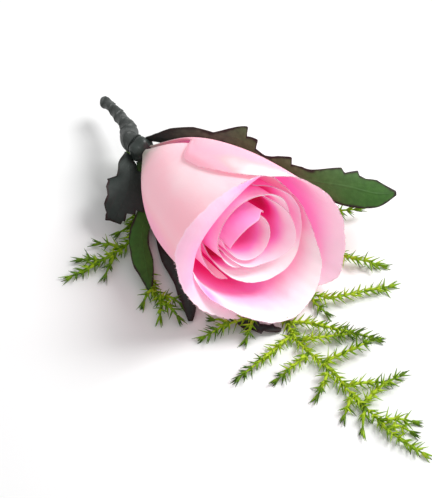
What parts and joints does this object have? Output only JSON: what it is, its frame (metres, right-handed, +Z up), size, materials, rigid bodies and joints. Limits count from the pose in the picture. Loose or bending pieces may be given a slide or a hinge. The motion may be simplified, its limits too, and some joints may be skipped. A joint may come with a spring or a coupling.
{
  "type": "rose corsage",
  "caption": "Silk rose bud of layered fabric petals on a short taped stem, with toothed fabric sepals and soft plastic fern sprays, lying on its side.",
  "frame": {"origin": "on the flat spot under the back petal, which the bloom rests on", "axes": "+X from the stem to the bloom and the long fern spray, +Y to the side of the long sepal, +Z up from the surface"},
  "size_m": [0.1732, 0.0975, 0.0483],
  "materials": {
    "heart_petal_back": "matt",
    "heart_petal_front": "matt",
    "inner_petal_back": "matt",
    "inner_petal_front": "matt",
    "middle_petal_back": "matt",
    "middle_petal_front": "matt",
    "back_petal": "matt",
    "front_petal": "matt",
    "side_petal": "matt",
    "long_sepal": "satin",
    "broad_sepal": "satin",
    "green_sepal": "satin",
    "side_sepal": "satin",
    "under_sepal": "satin",
    "stem_wire": "plastic sleeve over wire",
    "stem_tape": "waxed, slight sheen",
    "calyx_knob": "matt",
    "fern_forward": "soft, slight sheen",
    "fern_left": "soft, slight sheen",
    "fern_right": "soft, slight sheen",
    "fern_upper": "soft, slight sheen",
    "fern_low": "soft, slight sheen"
  },
  "bodies": {
    "root": {"heart_petal_back": "heart_petal_back", "heart_petal_front": "heart_petal_front", "inner_petal_back": "inner_petal_back", "inner_petal_front": "inner_petal_front", "middle_petal_back": "middle_petal_back", "middle_petal_front": "middle_petal_front", "back_petal": "back_petal", "front_petal": "front_petal", "side_petal": "side_petal", "long_sepal": "long_sepal", "broad_sepal": "broad_sepal", "green_sepal": "green_sepal", "side_sepal": "side_sepal", "under_sepal": "under_sepal", "stem_wire": "stem_wire", "stem_tape": "stem_tape", "calyx_knob": "calyx_knob", "fern_forward": "fern_forward", "fern_left": "fern_left", "fern_right": "fern_right", "fern_upper": "fern_upper", "fern_low": "fern_low"}
  },
  "joints": []
}
